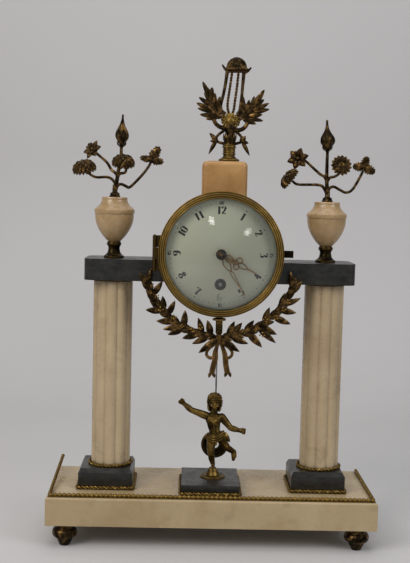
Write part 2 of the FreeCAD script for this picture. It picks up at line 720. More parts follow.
def top_block():
    """Alabaster block that sits astride the drum."""
    low = DIAL_Z + drum_wall_x(DRUM_R, DIAL_Z + BLOCK_HALF_W + abs(BLOCK_X)) - 1.0
    body = block(BLOCK_X - BLOCK_HALF_W, BLOCK_X + BLOCK_HALF_W, -BLOCK_HALF_D, BLOCK_HALF_D, low,
                 BLOCK_TOP_Z)
    top = [e for e in body.Edges if all(abs(v.Z - BLOCK_TOP_Z) < 1e-6 for v in e.Vertexes)]
    upright = [e for e in body.Edges if abs(e.Vertexes[0].Z - e.Vertexes[1].Z) > 1]
    body = body.makeFillet(BLOCK_CORNER_R, upright + top)
    body = body.cut(disc_y(0, DIAL_Z, DRUM_R + SEAT, -SLAB_D, SLAB_D))
    return body.cut(disc_z(LYRE_X, 0, LYRE_STUD_R + SEAT, low - 1, BLOCK_TOP_Z + 1))


# Urns and bouquets

def urn_foot(x):
    """Turned brass foot, bored for the tie rod."""
    base = LINTEL_TOP_Z
    high = URN_FOOT_H / 15.7
    profile = [(URN_FOOT_R, 0.0), (URN_FOOT_R, 1.8), (8.0, 2.8), (6.2, 5.0), (5.4, 8.6)]
    profile += [(5.8, 11.0), (6.9, 12.2), (6.9, 14.0), (5.9, 15.7)]
    body = lathe_z([(r, base + z * high) for r, z in profile], x, 0)
    return body.cut(disc_z(x, 0, ROD_R + RUN, base - 1, URN_Z + 1))


def urn(x):
    """Marble urn, bored for the rod below and the bouquet's stud above."""
    shape = [(5.8, 0.0), (9.0, 0.07), (12.3, 0.17), (15.8, 0.31), (18.0, 0.47), (18.6, 0.61)]
    shape = [(r * URN_R / 19.3, share * URN_H) for r, share in shape]
    body = lathe_z_smooth([(r, URN_Z + z) for r, z in shape], x, 0)
    upper = [(17.9, 0.60), (18.8, 0.63), (19.3, 0.66), (19.3, 0.715), (18.2, 0.745), (15.8, 0.79)]
    upper += [(13.6, 0.85), (12.5, 0.905), (12.1, 0.945), (12.4, 0.965), (12.2, 0.99), (11.7, 1.0)]
    upper = [(r * URN_R / 19.3, share * URN_H) for r, share in upper]
    body = fused([body, lathe_z([(r, URN_Z + z) for r, z in upper], x, 0)])
    return body.cut(disc_z(x, 0, URN_BORE_R, URN_Z - 1, URN_TOP_Z + 1))


def urn_feet():
    """Both urn feet."""
    return group(at_both_columns(urn_foot))


def star_bloom(centre, radius, points, depth):
    """Pointed flower that faces the front."""
    outline = []
    for k in range(points * 2):
        r = radius if k % 2 == 0 else radius * 0.62
        angle = math.pi * k / points + 0.2
        outline.append((centre.x + r * math.cos(angle), centre.z + r * math.sin(angle)))
    petals = plate_xz(outline, centre.y - depth / 2, centre.y + depth / 2)
    heart = Part.makeCone(radius * 0.34, radius * 0.2, depth * 0.9, centre, V(0, -1, 0))
    return fused([petals, heart])


def chrysanthemum(centre, radius, height, rows=3):
    """Full flower that faces up and forward, with rows of petals."""
    layers = []
    for k in range(rows):
        r = radius * (1.0 - 0.24 * k)
        outline = []
        petals = 12
        for i in range(petals * 2):
            reach = r if i % 2 == 0 else r * 0.8
            angle = math.pi * i / petals
            outline.append(V(reach * math.cos(angle), reach * math.sin(angle), 0))
        loop = Part.makePolygon(outline + outline[:1])
        layer = Part.Face(loop).extrude(V(0, 0, height * (0.42 + 0.28 * k)))
        layers.append(layer)
    flower = fused(layers)
    flower.rotate(V(0, 0, 0), V(1, 0, 0), 38)
    flower.translate(centre)
    return flower


def trefoil_bloom(centre, reach, aim):
    """Three pointed leaves that spread from one point."""
    leaves = []
    for turn in (-58, 0, 58):
        outline = leaf_outline((centre.x, centre.z), aim + turn, reach, reach * 0.62)
        leaves.append(plate_xz(outline, centre.y - 1.1, centre.y + 1.1))
    leaves.append(Part.makeSphere(reach * 0.2, centre))
    return fused(leaves)


def cone_bud(centre, radius, aim):
    """Closed bud that points away from its stem."""
    c = V(math.cos(math.radians(aim)), 0, math.sin(math.radians(aim)))
    lower = Part.makeCone(radius * 0.45, radius, radius * 0.8, centre - c * radius, c)
    upper = Part.makeCone(radius, radius * 0.15, radius * 1.5, centre - c * radius * 0.2, c)
    return fused([lower, upper])


def flame_bud(x, z, lean):
    """Pointed flame on top of a bouquet's middle stem."""
    shape = [(1.4, 0.0), (2.6, 0.03), (5.2, 0.2), (6.4, 0.4), (5.2, 0.56), (3.0, 0.72), (1.3, 0.88)]
    shape += [(0.5, 1.0)]
    profile = [(r * BUD_R / 6.4, z + share * BUD_H) for r, share in shape]
    body = lathe_z_smooth(profile, x, 0)
    body.rotate(V(x, 0, z), V(0, 1, 0), lean)
    return body


def bouquet(x, stems, blooms, bud_dx, bud_dz, bud_lean):
    """Metal bouquet: collar with its stud, bent stems, blooms and a flame bud."""
    z = URN_TOP_Z
    collar = lathe_z([(COLLAR_R, z), (COLLAR_R, z + 1.6), (3.4, z + 2.6), (2.6, z + COLLAR_H)], x, 0)
    stud = disc_z(x, 0, URN_BORE_R - SEAT, URN_TOP_Z - 9.0, z + 0.5)
    middle = bent_rod([V(x, 0, z + 2), V(x + 0.1 * bud_dx, 0, z + 20), V(x + bud_dx, 0, z + bud_dz + 1)],
                      STEM_R * 1.2)
    pieces = [collar, stud, middle, flame_bud(x + bud_dx, z + bud_dz, bud_lean)]
    for points in stems:
        pieces.append(bent_rod([V(x + a, b, z + c) for a, b, c in points], STEM_R))
    for kind, a, b, c, *rest in blooms:
        pieces.append(kind(V(x + a, b, z + c), *rest))
    return fused(pieces)


def bouquet_left():
    """Left bouquet: two chrysanthemums, a star flower and a three-leaved flower."""
    stems = [
        [(0, 0, 10), (-8.0, -3, 17.6), (-21.0, -5, 18.6), (-28.5, -6, 24), (-31.5, -6, 28)],
        [(0.2, 0, 19), (-6.6, 2, 25), (-11.4, 4, 32), (-19.2, 6, 40), (-24.5, 6, 45)],
        [(0.2, 0, 17), (7.0, -6, 25), (7.6, -8, 30), (5.6, -9, 34)],
        [(0, 0, 7), (4.5, -2, 12.0), (11.9, -3, 8.3), (18.8, -3, 15.2), (29.5, -3, 28.8), (32.5, -3, 33.5)],
    ]
    blooms = [
        (chrysanthemum, 5.6, -8.5, 33.0, 11.0, 5.0),
        (chrysanthemum, -31.5, -5.5, 27.5, 11.0, 5.0),
        (star_bloom, -25.2, 6.0, 45.4, 9.3, 8, 3.0),
        (trefoil_bloom, 32.0, -3.0, 32.5, 12.0, 60.0),
    ]
    return bouquet(-COLUMN_X, stems, blooms, 4.2, 47.3, 1.0)


def bouquet_right():
    """Right bouquet: a star flower, a closed bud, a daisy and a three-lobed flower."""
    stems = [
        [(0, 0, 9), (-6.0, -2, 13.6), (-24.5, -5, 13.9), (-31.3, -6, 16), (-34, -6, 19)],
        [(0.2, 0, 19), (-5.0, 2, 24.2), (-11.1, 4, 28.6), (-19.3, 6, 37), (-26, 6, 40)],
        [(0.2, 0, 17.5), (8.5, -6, 23.0), (12.8, -7, 29), (12.8, -8.5, 33)],
        [(0, 0, 7), (6.5, -2, 13.2), (13.3, -3, 10), (19.2, -3, 7.1), (24, -3, 10), (30, -3, 17.9),
         (34.5, -3, 26)],
    ]
    blooms = [
        (star_bloom, -26.6, 6.0, 40.2, 10.2, 8, 3.0),
        (cone_bud, -36.5, -6.0, 21.8, 7.2, 145.0),
        (star_bloom, 12.8, -8.5, 32.9, 9.6, 12, 3.0),
        (trefoil_bloom, 34.5, -3.0, 26.5, 12.0, 75.0),
    ]
    return bouquet(COLUMN_X, stems, blooms, -0.6, 46.6, -2.0)


# Lyre

def lyre_foot():
    """Turned socle with the stud that goes down through the block, and its nut inside the drum."""
    z = BLOCK_TOP_Z
    profile = [(LYRE_FOOT_R, z), (LYRE_FOOT_R, z + 2.2), (LYRE_FOOT_R - 2.2, z + 3.2)]
    profile += [(LYRE_NECK_R, z + 5.0), (LYRE_NECK_R, z + LYRE_NECK_H - 2.0), (4.4, z + LYRE_NECK_H)]
    inside_z = DIAL_Z + drum_wall_x(DRUM_IN_R, DIAL_Z + abs(LYRE_X) + 4.6)
    stud = disc_z(LYRE_X, 0, LYRE_STUD_R, inside_z - 4.6, z + 1)
    nut = disc_z(LYRE_X, 0, 4.4, inside_z - 4.0, inside_z - 0.4)
    nut = nut.cut(disc_z(LYRE_X, 0, LYRE_STUD_R + RUN, inside_z - 8, inside_z + 2))
    body = fused([lathe_z(profile, LYRE_X, 0), stud])
    return group([body.cut(lyre_tenon(LYRE_TENON_R + SEAT, 0.5)), nut])


def lyre_tenon(radius, extra):
    """Leaning round tenon between the lyre and its foot."""
    z = BLOCK_TOP_Z + LYRE_NECK_H
    return leaning(disc_z(LYRE_X, 0, radius, z - LYRE_TENON_L - extra, z + 2.0))


def leaning(shape):
    """Lean a piece of the lyre about the top of its foot."""
    shape.rotate(V(LYRE_X, 0, BLOCK_TOP_Z + LYRE_NECK_H), V(0, 1, 0), LYRE_LEAN)
    return shape


def lyre_plate(points, thickness=LYRE_T):
    """Flat piece of the lyre; points are (right of its axis, above the block)."""
    return plate_xz([(LYRE_X + a, BLOCK_TOP_Z + b) for a, b in points], -thickness / 2, thickness / 2)


def lyre_side(sign):
    """One half of the lyre: volute, arm, horn, drooping leaf and laurel spray."""
    arm = [(13.5, 44.0), (9.8, 50.5), (8.2, 64.0), (7.6, 77.0), (8.6, 88.0), (5.4, 88.0), (4.9, 77.0),
           (5.6, 64.0), (7.0, 52.0), (6.0, 46.0)]
    volute = [(0.0, 28.5), (9.0, 30.5), (16.5, 32.5), (19.6, 36.5), (18.6, 41.5), (13.5, 46.5),
              (9.0, 50.0), (4.0, 46.0), (0.0, 44.5)]
    horn = [(6.0, 86.0), (9.0, 87.5), (14.6, 90.8), (13.6, 91.4), (9.4, 90.6), (6.0, 90.0)]
    leaf_low = [(2.0, 19.0), (9.0, 17.5), (15.0, 11.5), (20.6, 4.6), (18.6, 11.0), (17.6, 15.0),
                (17.2, 24.2), (13.6, 19.4), (8.4, 25.5), (2.0, 29.0)]
    spray = [(10.0, 38.5), (17.0, 44.5), (29.5, 47.0), (22.5, 50.0), (33.5, 55.0), (26.0, 56.5),
             (34.8, 64.0), (25.0, 62.5), (29.5, 71.5), (20.5, 65.0), (17.0, 66.0), (14.0, 58.0),
             (10.0, 60.0), (9.0, 50.0)]
    pieces = []
    for outline, thickness in ((arm, 3.0), (volute, 3.4), (horn, 2.4), (leaf_low, 2.6), (spray, 2.2)):
        pieces.append(lyre_plate([(sign * a, b) for a, b in outline], thickness))
    body = fused(pieces)
    for a, b, r in ((11.6, 39.5, 1.9), (6.8, 21.7, 2.1)):
        body = body.cut(disc_y(LYRE_X + sign * a, BLOCK_TOP_Z + b, r, -5, 5))
    return body


def lyre_frame():
    """Lyre with its two arms, dome, radiant mask and laurel sprays."""
    dome = [(9.6 * math.cos(math.radians(a)), 89.6 + 9.2 * math.sin(math.radians(a)))
            for a in range(0, 181, 15)]
    dome = [(9.6, 86.6)] + dome + [(-9.6, 86.6)]
    pin = LYRE_T / 2 - 0.2
    low = LYRE_NECK_H + 0.4
    spine = lyre_plate([(3.6, low), (3.2, 24.0), (4.5, 34.0), (-4.5, 34.0), (-3.2, 24.0), (-3.6, low)], 5.0)
    mask_at = V(LYRE_X, -pin, BLOCK_TOP_Z + 38.0)
    mask = Part.makeCone(6.6, 4.6, 3.4, mask_at, V(0, -1, 0))
    pieces = [lyre_side(1), lyre_side(-1), lyre_plate(dome, 4.0), spine, mask]
    return fused([leaning(fused(pieces)), lyre_tenon(LYRE_TENON_R, 0.0)])


def lyre_strings():
    """Two twisted wire strings between the mask and the dome."""
    pieces = []
    for sign in (-1, 1):
        points = [(1.2, 46.3), (3.5, 53.5), (3.2, 68.0), (2.9, 86.2)]
        path = [V(LYRE_X + sign * a, 0, BLOCK_TOP_Z + b) for a, b in points]
        pieces.append(leaning(bent_rod(path, STRING_R)))
    return group(pieces)


# Swag

def swag_centre_z():
    """Height of the centre of the swag's arc."""
    return SWAG_LOW_Z + SWAG_R


def swag_end():
    """Right upper end of the swag."""
    return (SWAG_END_X, swag_centre_z() - math.sqrt(SWAG_R ** 2 - SWAG_END_X ** 2))


def festoon_garland():
    """Laurel swag: a bent stem with paired leaves and berries, pinned to the lintels."""
    end = swag_end()
    centre = V(0, SWAG_Y, swag_centre_z())
    span = 2 * math.degrees(math.asin(SWAG_END_X / SWAG_R))
    radial = V(end[0], 0, end[1] - centre.z)
    tangent = radial.cross(V(0, 1, 0))
    section = Part.Face(Part.Wire(Part.makeCircle(SWAG_STEM_R, V(end[0], SWAG_Y, end[1]), tangent)))
    stem = section.revolve(centre, V(0, 1, 0), span)
    pieces = [stem]
    start = math.degrees(math.asin(SWAG_END_X / SWAG_R))
    for sign in (-1, 1):
        for k in range(LEAF_PAIRS):
            share = (k + 0.35) / LEAF_PAIRS
            off = sign * start * (1 - share * 0.93)
            place = (centre.x + SWAG_R * math.sin(math.radians(off)),
                     centre.z - SWAG_R * math.cos(math.radians(off)))
            along = off + (0 if sign > 0 else 180)
            for turn in (-38, 38):
                length = LEAF_L * (0.85 + 0.15 * math.sin(2.3 * k + turn))
                outline = leaf_outline(place, along + turn, length, LEAF_W)
                shift = 0.5 if turn > 0 else -0.5
                y = SWAG_Y - LEAF_T / 2 + shift
                pieces.append(plate_xz(outline, y, y + LEAF_T))
    pin_end = -LINTEL_HALF_D + 4.0
    for sign in (-1, 1):
        pieces.append(disc_y(sign * end[0], end[1], PIN_R, SWAG_Y, pin_end))
        pieces.append(Part.makeSphere(2.2, V(sign * end[0], SWAG_Y, end[1])))
    return fused(pieces).cut(swag_pin(PIN_R + SEAT, 0.0))


def swag_pin(radius, extra):
    """Upright pin from the bracket through the swag's stem into the bow's knot."""
    return disc_z(0, SWAG_Y, radius, SWAG_LOW_Z - KNOT_DROP - extra, SWAG_LOW_Z + SWAG_STEM_R + 1.0)


def festoon_bracket():
    """Turned stem under the drum that carries the middle of the swag and the bow."""
    wall_z = DIAL_Z - math.sqrt(DRUM_R ** 2 - 1)
    low = SWAG_LOW_Z + SWAG_STEM_R + 0.2
    cap_z = DRUM_LOW_Z - STEM_CAP_DROP
    profile = [(2.2, low), (STEM_NECK_R, low + 2.0), (STEM_NECK_R, cap_z - STEM_CAP_T - 0.6)]
    profile += [(STEM_CAP_R, cap_z - STEM_CAP_T), (STEM_CAP_R, cap_z), (STEM_NECK_R, cap_z + 0.8)]
    profile.append((STEM_NECK_R, wall_z - 0.25))
    body = lathe_z(profile, 0, SWAG_Y)
    screw = disc_z(0, SWAG_Y, 1.6, wall_z - 1, DIAL_Z - DRUM_IN_R + 5.0)
    nut = disc_z(0, SWAG_Y, 3.2, DIAL_Z - DRUM_IN_R + 0.3, DIAL_Z - DRUM_IN_R + 2.5)
    nut = nut.cut(disc_z(0, SWAG_Y, 1.6 + RUN, 0, DIAL_Z))
    return group([fused([body, screw, swag_pin(PIN_R, 0.0)]), nut])


def festoon_bow():
    """Ribbon bow with two loops and two forked tails, on the pin under the swag's stem."""
    z = SWAG_LOW_Z - KNOT_DROP
    y0 = SWAG_Y - KNOT_R - RIBBON_T
    y1 = y0 + RIBBON_T
    pieces = [disc_y(0, z, KNOT_R, y0 - 0.8, SWAG_Y + 1.6)]
    for s in (-1, 1):
        loop = [(0.0, -2.0), (5.0, -6.5), (9.5, -14.0), (13.5, -19.0), (12.0, -22.5), (7.0, -22.0),
                (3.5, -16.0), (1.2, -8.0)]
        hole = [(5.2, -9.5), (8.4, -14.5), (11.2, -19.0), (10.4, -20.6), (7.6, -19.6), (4.9, -14.0)]
        tail = [(1.0, -1.0), (2.6, -9.0), (3.2, -18.0), (4.4, -26.0), (9.0, -35.0), (7.8, -30.0),
                (11.4, -33.0), (7.8, -23.0), (6.2, -14.0), (3.0, -4.0)]
        ribbon = plate_xz([(s * a, z + b) for a, b in loop], y0, y1)
        window = plate_xz([(s * a, z + b) for a, b in hole], y0 - 1, y1 + 1)
        pieces.append(ribbon.cut(window))
        pieces.append(plate_xz([(s * a, z + b) for a, b in tail], y0 + 0.3, y1 + 0.5))
    return fused(pieces).cut(swag_pin(PIN_R + SEAT, 0.4))


# Figure

def limb(a, b, ra, rb):
    """Tapered limb with round ends."""
    axis = b - a
    pieces = [Part.makeSphere(ra, a), Part.makeSphere(rb, b)]
    if abs(ra - rb) < 0.05:
        pieces.append(Part.makeCylinder(ra * 0.97, axis.Length, a, axis))
    else:
        pieces.append(Part.makeCone(ra * 0.97, rb * 0.97, axis.Length, a, axis))
    return pieces


def figure():
    """Running child with both arms out, on one foot."""
    k = FIGURE_TALL / 74.5
    ground = CENTRE_TOP_Z + FIGURE_DISC_T + FIGURE_MOUND_H

    def at(x, y, z):
        return V(FIGURE_X + x * k, FIGURE_Y + y * k, ground + (z - 66.8) * k)

    pieces = []
    pieces.append(Part.makeSphere(7.2 * k, at(0.3, -0.5, 134.0)))
    pieces.append(Part.makeSphere(5.2 * k, at(0.3, -2.4, 129.5)))
    pieces += limb(at(0.5, 0, 125), at(0.4, 0.2, 116), 3.6 * k, 4.6 * k)
    pieces += limb(at(-4.6, 0.3, 117.0), at(4.8, 0.3, 116.4), 5.0 * k, 5.0 * k)
    pieces += limb(at(0.0, 0.2, 114.5), at(0.8, 0.2, 102), 7.4 * k, 6.3 * k)
    pieces += limb(at(0.6, 0.2, 102), at(0.8, 0.6, 95), 6.4 * k, 7.2 * k)
    pieces += limb(at(-8.0, 0.3, 118.8), at(-22.8, -1.5, 124.2), 3.9 * k, 3.0 * k)
    pieces += limb(at(-22.8, -1.5, 124.2), at(-31.0, -2.5, 131.6), 3.0 * k, 2.2 * k)
    pieces.append(Part.makeSphere(3.2 * k, at(-32.4, -2.7, 133.3)))
    pieces += limb(at(8.2, 0.3, 117.8), at(15.8, -1.5, 106.8), 3.9 * k, 3.0 * k)
    pieces += limb(at(15.8, -1.5, 106.8), at(25.6, -3.0, 104.8), 3.0 * k, 2.2 * k)
    pieces.append(Part.makeSphere(3.2 * k, at(28.0, -3.3, 104.6)))
    pieces += limb(at(-2.2, 0.2, 93.5), at(-1.6, -1.6, 81.0), 5.4 * k, 3.8 * k)
    pieces += limb(at(-1.6, -1.6, 81.0), at(0.2, 0.6, 70.0), 3.8 * k, 2.2 * k)
    pieces += limb(at(0.2, 0.6, 69.0), at(-0.6, -4.6, 68.0), 2.3 * k, 1.8 * k)
    pieces += limb(at(4.6, 0.6, 93.5), at(11.6, 3.2, 85.4), 5.2 * k, 3.9 * k)
    pieces += limb(at(11.6, 3.2, 85.4), at(19.4, 7.4, 81.0), 3.9 * k, 2.4 * k)
    pieces += limb(at(19.4, 7.4, 81.0), at(21.2, 7.8, 74.6), 2.3 * k, 1.8 * k)
    sash = [at(-6.5, 0, 98.5), at(-5.0, 0, 92.0), at(2.0, 0, 86.5), at(9.0, 0, 90.5), at(13.0, 0, 97.0),
            at(7.5, 0, 105.5), at(1.0, 0, 100.5)]
    pieces.append(plate_xz([(p.x, p.z) for p in sash], FIGURE_Y - 8.4 * k, FIGURE_Y + 5.5 * k))
    level = block(-40, 40, -60, 60, ground - 30, ground + 0.02)
    return fused(pieces).cut(level)


def figure_base():
    """Disc and mound under the figure, with the stud through the plinth and slab, and its nut."""
    z = CENTRE_TOP_Z
    r = FIGURE_DISC_R
    t = FIGURE_DISC_T
    profile = [(r, z), (r, z + t * 0.6), (r - 1.4, z + t), (FIGURE_MOUND_R, z + t + 0.4)]
    profile += [(FIGURE_MOUND_R * 0.72, z + t + FIGURE_MOUND_H * 0.6), (3.6, z + t + FIGURE_MOUND_H)]
    body = lathe_z(profile, FIGURE_X, FIGURE_Y)
    nut_z = SLAB_BOTTOM_Z + COUNTERBORE_H - ROD_NUT_H
    stud = disc_z(FIGURE_X, FIGURE_Y, FIGURE_STUD_R, nut_z - 1, z + 1)
    nut = disc_z(FIGURE_X, FIGURE_Y, ROD_NUT_R - 0.6, nut_z, nut_z + ROD_NUT_H)
    nut = nut.cut(disc_z(FIGURE_X, FIGURE_Y, FIGURE_STUD_R + RUN, nut_z - 2, nut_z + ROD_NUT_H + 2))
    return group([fused([body, stud]), nut])


# Bezel, glass, dial and covers

def knuckle(x, y, z0, z1):
    """One hinge knuckle, bored for its pin."""
    body = disc_z(x, y, HINGE_R, z0, z1)
    return body, disc_z(x, y, HINGE_PIN_R + RUN, z0 - 1, z1 + 1)


def knuckle_levels(low, height):
    """Heights of a hinge's three knuckles, from low to high."""
    return [(low + k * height, low + (k + 1) * height) for k in range(3)]


def bezel_hinge_levels():
    """The bezel's hinge is centred on the dial."""
    return knuckle_levels(DIAL_Z - 1.5 * HINGE_KNUCKLE, HINGE_KNUCKLE)


def cover_hinge_levels():
    """The rear cover's hinge stands above the lintel."""
    return knuckle_levels(LINTEL_TOP_Z + 1.0, COVER_KNUCKLE)


def bezel_hinge_y():
    """The bezel hinge's axis lies in the plane between the bezel and the drum's flange."""
    return DRUM_FRONT_Y + 0.2


def cover_hinge_y():
    """The rear cover hinge's axis."""
    return DRUM_BACK_Y + 0.3


def bezel_ring():
    """Moulded brass bezel with its hinge knuckle, thumb piece and the ring that holds the glass."""
    y = BEZEL_BACK_Y
    f = BEZEL_FRONT_Y
    profile = [(BEZEL_R, y), (BEZEL_R, y - 1.6), (BEZEL_R - 1.2, f + 3.2), (BEZEL_R - 1.2, f + 2.4),
               (BEZEL_R - 3.0, f + 0.6), (BEZEL_R - 4.8, f), (BEZEL_BORE_R, f + 1.2),
               (BEZEL_BORE_R, GLASS_RIM_Y - 0.1), (BEZEL_BORE_R + 2.7, GLASS_RIM_Y - 0.1),
               (BEZEL_BORE_R + 2.7, y)]
    ring = lathe_y(profile)
    retainer = [(BEZEL_BORE_R + 0.2, GLASS_RIM_Y + GLASS_T + 0.1), (BEZEL_BORE_R + 2.6, GLASS_RIM_Y + GLASS_T + 0.1),
                (BEZEL_BORE_R + 2.6, y - 0.3), (BEZEL_BORE_R + 0.2, y - 0.3)]
    z0, z1 = bezel_hinge_levels()[1]
    hx = -HINGE_X
    hy = bezel_hinge_y()
    body, bore = knuckle(hx, hy, z0 + GAP / 2, z1 - GAP / 2)
    leaf = block(hx, -BEZEL_R + 1.4, y - 1.4, y, z0 + GAP / 2, z1 - GAP / 2)
    thumb = block(BEZEL_R - 1.0, BEZEL_R + 8.4, y - 2.4, y - 0.8, DIAL_Z - 1.6, DIAL_Z + 5.0)
    ring = fused([ring, body, leaf, thumb]).cut(bore)
    return group([ring, lathe_y(retainer)])


def bezel_glass():
    """Domed glass with a flat rim."""
    rim_r = BEZEL_BORE_R + 2.4
    dome_r = BEZEL_BORE_R - 0.6
    front = GLASS_RIM_Y
    back = front + GLASS_T
    apex = front - GLASS_RISE

    def cap(radius, y_edge, y_apex):
        h = y_edge - y_apex
        big = (radius ** 2 + h ** 2) / (2 * h)
        half = math.asin(radius / big) / 2
        middle = V(big * math.sin(half), y_apex + big * (1 - math.cos(half)), DIAL_Z)
        arc = Part.Arc(V(radius, y_edge, DIAL_Z), middle, V(0, y_apex, DIAL_Z)).toShape()
        sides = [Part.makeLine(V(0, y_apex, DIAL_Z), V(0, y_edge, DIAL_Z)),
                 Part.makeLine(V(0, y_edge, DIAL_Z), V(radius, y_edge, DIAL_Z))]
        return Part.Face(Part.Wire([arc] + sides)).revolve(V(0, 0, DIAL_Z), V(0, 1, 0), 360)

    outer = fused([cap(dome_r, front, apex), disc_y(0, DIAL_Z, rim_r, front, back)])
    inner = fused([cap(dome_r - GLASS_T, front + 0.2, apex + GLASS_T),
                   disc_y(0, DIAL_Z, dome_r - GLASS_T, front + 0.15, back + 1)])
    return outer.cut(inner)


def case_hinges():
    """Fixed halves of the bezel's and the rear cover's hinges, with their pins."""
    pieces = []
    flange_back = DRUM_FRONT_Y + FLANGE_T + SEAT
    places = (
        (-HINGE_X, bezel_hinge_y(), flange_back, flange_back + 2.4, bezel_hinge_levels()),
        (-COVER_HINGE_X, cover_hinge_y(), cover_hinge_y() - 4.5, cover_hinge_y(), cover_hinge_levels()),
    )
    drum = disc_y(0, DIAL_Z, DRUM_R + SEAT, DRUM_FRONT_Y - 9, DRUM_BACK_Y + 9)
    flange = disc_y(0, DIAL_Z, DRUM_R + FLANGE_W + SEAT, DRUM_FRONT_Y - 9, flange_back)
    for x, y, leaf_y0, leaf_y1, levels in places:
        for z0, z1 in (levels[0], levels[2]):
            body, bore = knuckle(x, y, z0, z1)
            inner = -drum_wall_x(DRUM_R, max(abs(z0 - DIAL_Z), abs(z1 - DIAL_Z)) + DIAL_Z) - 0.15
            leaf = block(x - HINGE_R * 0.4, inner, min(y, leaf_y0), max(y, leaf_y1), z0, z1)
            leaf = leaf.cut(drum)
            if leaf_y0 < 0:
                leaf = leaf.cut(flange)
            pieces.append(fused([body, leaf]).cut(bore))
        pieces.append(disc_z(x, y, HINGE_PIN_R, levels[0][0] - 0.8, levels[2][1] + 0.8))
    return group(pieces)


def rear_cover():
    """Brass door that closes the drum's back, with its knuckle and thumb piece."""
    y0 = DRUM_BACK_Y + GAP
    disc = disc_y(0, DIAL_Z, DRUM_R, y0, y0 + COVER_T)
    ridge = lathe_y([(DRUM_R - 5, y0 + COVER_T - 0.2), (DRUM_R - 1.5, y0 + COVER_T - 0.2),
                     (DRUM_R - 2.2, y0 + COVER_T + 1.2), (DRUM_R - 4.2, y0 + COVER_T + 1.2)])
    z0, z1 = cover_hinge_levels()[1]
    body, bore = knuckle(-COVER_HINGE_X, cover_hinge_y(), z0 + GAP / 2, z1 - GAP / 2)
    leaf = block(-COVER_HINGE_X, -DRUM_R + 2, y0, y0 + COVER_T, z0 + GAP / 2, z1 - GAP / 2)
    thumb = block(DRUM_R - 2, DRUM_R + 5, y0, y0 + COVER_T, DIAL_Z - 4, DIAL_Z + 4)
    return fused([disc, ridge, body, leaf, thumb]).cut(bore)


def dial():
    """Enamelled dial on copper with its centre hole, key hole and three feet."""
    plate = disc_y(0, DIAL_Z, DIAL_R, DIAL_Y, DIAL_Y + DIAL_T)
    posts = [disc_y(x, z, 1.1, DIAL_Y + DIAL_T - 0.4, PLATE_FRONT_IN + 0.4) for x, z in dial_feet_at()]
    plate = fused([plate] + posts)
    plate = plate.cut(disc_y(0, DIAL_Z, DIAL_HOLE_R, DIAL_Y - 1, DIAL_Y + DIAL_T + 1))
    return plate.cut(disc_y(0, KEY_Z, KEY_HOLE_R, DIAL_Y - 1, DIAL_Y + DIAL_T + 1))


def dial_feet_at():
    """Places of the dial's feet."""
    return [polar(CENTRE_AT, PILLAR_PITCH_R - 2, a) for a in (90, 200, 340)]


# Movement, fixed parts

def arbor_holes():
    """Places and radii of the pivot holes that both plates share."""
    holes = [(CENTRE_AT, ARBOR_R + RUN), (SECOND_AT, PIVOT_R + RUN), (THIRD_AT, PIVOT_R + RUN)]
    holes += [(ESCAPE_AT, PIVOT_R + RUN), (BARREL_AT, 2.6 + RUN)]
    return holes


def front_plate():
    """Front movement plate that rests on the drum's shelf, with the motion wheel's stud."""
    plate = disc_y(0, DIAL_Z, DRUM_IN_R - 0.3, PLATE_FRONT_Y, PLATE_FRONT_IN)
    cuts = []
    for (x, z), r in arbor_holes() + [(ANCHOR_AT, PIVOT_R + RUN)]:
        cuts.append(disc_y(x, z, r, PLATE_FRONT_Y - 1, PLATE_FRONT_IN + 1))
    for x, z in dial_feet_at():
        cuts.append(disc_y(x, z, 1.1 + SEAT, PLATE_FRONT_Y - 1, PLATE_FRONT_IN + 1))
    for x, z in plate_screws_at():
        cuts.append(disc_y(x, z, 1.2 + SEAT, PLATE_FRONT_Y - 1, PLATE_FRONT_IN + 1))
    for x, z in PILLARS_AT:
        cuts.append(disc_y(x, z, 1.6 + SEAT, PLATE_FRONT_Y - 1, PLATE_FRONT_IN + 1))
    plate = plate.cut(fused_apart(cuts))
    stud = disc_y(MINUTE_AT[0], MINUTE_AT[1], 0.8, PLATE_FRONT_Y - 8.4, PLATE_FRONT_Y + 1)
    post = disc_y(CLICK_AT[0], CLICK_AT[1], 1.2, PLATE_FRONT_Y - 3.0, PLATE_FRONT_Y + 1)
    return fused([plate, stud, post])


def back_plate():
    """Back movement plate."""
    plate = disc_y(0, DIAL_Z, BACK_PLATE_R, PLATE_BACK_Y, PLATE_BACK_OUT)
    cuts = []
    for (x, z), r in arbor_holes():
        cuts.append(disc_y(x, z, r, PLATE_BACK_Y - 1, PLATE_BACK_OUT + 1))
    cuts.append(disc_y(ANCHOR_AT[0], ANCHOR_AT[1], ARBOR_R + RUN, PLATE_BACK_Y - 1, PLATE_BACK_OUT + 1))
    for x, z in PILLARS_AT + cock_screws_at():
        cuts.append(disc_y(x, z, 1.1 + SEAT, PLATE_BACK_Y - 1, PLATE_BACK_OUT + 1))
    return plate.cut(fused_apart(cuts))


def plate_pillars():
    """Four turned pillars between the plates, riveted at the front and tapped at the back."""
    pieces = []
    for x, z in PILLARS_AT:
        length = PLATE_BACK_Y - PLATE_FRONT_IN
        y = PLATE_FRONT_IN
        profile = [(0, y - PLATE_T), (1.6, y - PLATE_T), (1.6, y), (PILLAR_R + 0.8, y),
                   (PILLAR_R + 0.8, y + 1.4), (PILLAR_R, y + 2.2), (PILLAR_R, y + length - 2.2),
                   (PILLAR_R + 0.8, y + length - 1.4), (PILLAR_R + 0.8, y + length), (0, y + length)]
        body = lathe_y(profile, x, z)
        pieces.append(body.cut(disc_y(x, z, 1.1 + SEAT, PLATE_BACK_Y - 6, PLATE_BACK_Y + 1)))
    return group(pieces)


